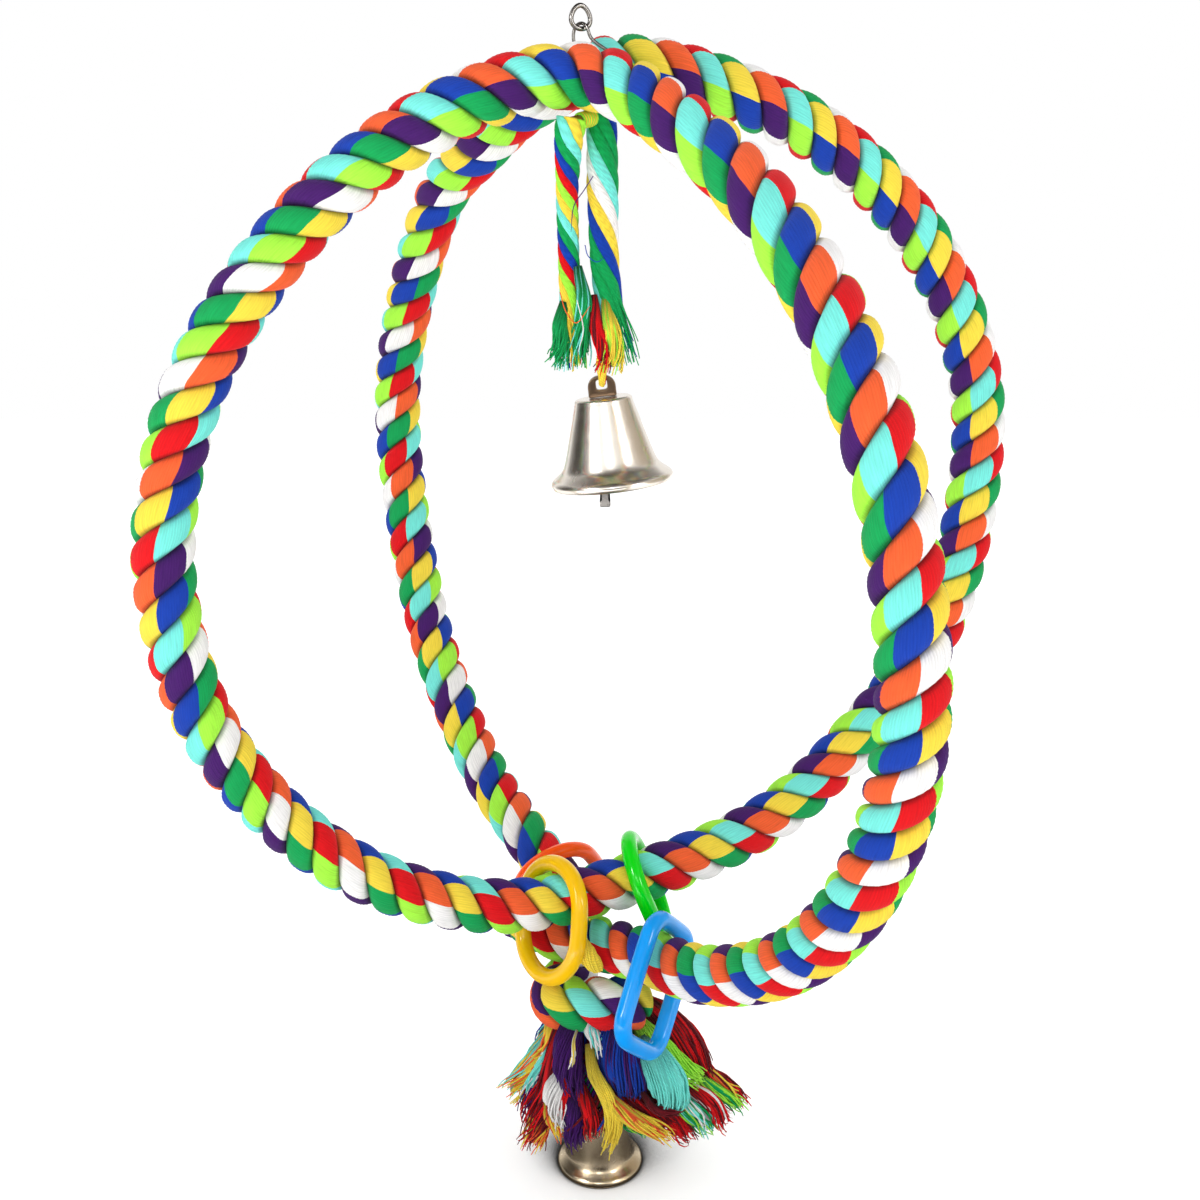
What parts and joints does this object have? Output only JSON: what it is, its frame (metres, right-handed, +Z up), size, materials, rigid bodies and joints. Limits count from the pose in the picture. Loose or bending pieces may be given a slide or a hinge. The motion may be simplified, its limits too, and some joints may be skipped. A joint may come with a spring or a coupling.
{
  "type": "rope bird swing",
  "caption": "Hanging ball of thick multicoloured laid rope for a bird to climb, with yarn tassels, nickel bells and plastic links.",
  "frame": {"origin": "inside top of the hanger link's eye, where a hook carries it", "axes": "+Z up, -Y towards the picture's viewer, +X to the viewer's right"},
  "size_m": [0.3952, 0.3783, 0.552],
  "materials": {
    "rope": "matte cotton yarn",
    "red_yarn": "matte cotton yarn",
    "yellow_yarn": "matte cotton yarn",
    "white_yarn": "matte cotton yarn",
    "teal_yarn": "matte cotton yarn",
    "blue_yarn": "matte cotton yarn",
    "lime_yarn": "matte cotton yarn",
    "green_yarn": "matte cotton yarn",
    "purple_yarn": "matte cotton yarn",
    "orange_yarn": "matte cotton yarn",
    "yellow_plastic": "glossy moulded",
    "orange_plastic": "glossy moulded",
    "green_plastic": "glossy moulded",
    "blue_plastic": "glossy moulded",
    "steel_wire": "bright drawn wire",
    "nickel": "satin nickel plate"
  },
  "bodies": {
    "hanger": {"hanger_link": "steel_wire"},
    "swing": {"main_rope": "rope", "knot_turn": "rope", "knot_strand": "yellow_yarn", "hanger_loop": "steel_wire", "toggle_bar": "steel_wire", "upper_tassel_left": "green_yarn", "upper_tassel_right": "teal_yarn", "upper_bell_tie": "yellow_yarn", "tassel_core": "purple_yarn", "lock_left_yellow": "yellow_yarn", "lock_left_red": "red_yarn", "lock_front_purple": "purple_yarn", "lock_front_blue": "blue_yarn", "lock_front_yellow": "yellow_yarn", "lock_right_teal": "teal_yarn", "lock_right_lime": "lime_yarn", "lock_right_red": "red_yarn", "lock_rear_green": "green_yarn", "lock_rear_orange": "orange_yarn", "lock_rear_white": "white_yarn", "lock_rear_purple": "purple_yarn", "lower_bell_tie": "red_yarn"},
    "upper_bell": {"upper_bell_shell": "nickel", "upper_bell_strap": "nickel", "upper_bell_hook": "nickel"},
    "upper_clapper": {"upper_bell_clapper": "nickel"},
    "lower_bell": {"lower_bell_shell": "nickel", "lower_bell_strap": "nickel", "lower_bell_hook": "nickel"},
    "lower_clapper": {"lower_bell_clapper": "nickel"},
    "yellow_ring": {"yellow_link": "yellow_plastic"},
    "orange_ring": {"orange_link": "orange_plastic"},
    "green_ring": {"green_link": "green_plastic"},
    "blue_ring": {"blue_link": "blue_plastic"}
  },
  "joints": [
    {"name": "swing_on_hanger", "type": "hinge", "parent": "hanger", "child": "swing", "pos_m": [0, 0, -0.008], "axis": [0.9135, 0.4067, 0], "range_deg": [-20, 20]},
    {"name": "upper_bell_swing", "type": "hinge", "parent": "swing", "child": "upper_bell", "pos_m": [0.00891, 0, -0.15374], "axis": [0, 1, 0], "range_deg": [-18, 18]},
    {"name": "upper_clapper_swing", "type": "hinge", "parent": "upper_bell", "child": "upper_clapper", "pos_m": [0.01031, 0, -0.16862], "axis": [0, 1, 0], "range_deg": [-15, 15]},
    {"name": "lower_bell_swing", "type": "hinge", "parent": "swing", "child": "lower_bell", "pos_m": [0.008, -0.008, -0.51093], "axis": [0, 1, 0], "range_deg": [-6, 6]},
    {"name": "lower_clapper_swing", "type": "hinge", "parent": "lower_bell", "child": "lower_clapper", "pos_m": [0.008, -0.008, -0.52588], "axis": [0, 1, 0], "range_deg": [-12, 12]},
    {"name": "yellow_ring_turn", "type": "hinge", "parent": "swing", "child": "yellow_ring", "pos_m": [-0.01599, -0.00918, -0.40198], "axis": [-0.9466, -0.3198, -0.04], "range_deg": [0, 12]},
    {"name": "orange_ring_turn", "type": "hinge", "parent": "swing", "child": "orange_ring", "pos_m": [-0.0169, 0.05208, -0.41829], "axis": [-0.5804, 0.5887, 0.5627], "range_deg": [-10, 10]},
    {"name": "green_ring_turn", "type": "hinge", "parent": "swing", "child": "green_ring", "pos_m": [0.02852, 0.00601, -0.39611], "axis": [-0.9314, -0.3196, -0.1741], "range_deg": [-8, 8]},
    {"name": "blue_ring_turn", "type": "hinge", "parent": "swing", "child": "blue_ring", "pos_m": [0.03799, -0.04032, -0.41717], "axis": [-0.5393, 0.8118, -0.2239], "range_deg": [0, 10]}
  ]
}
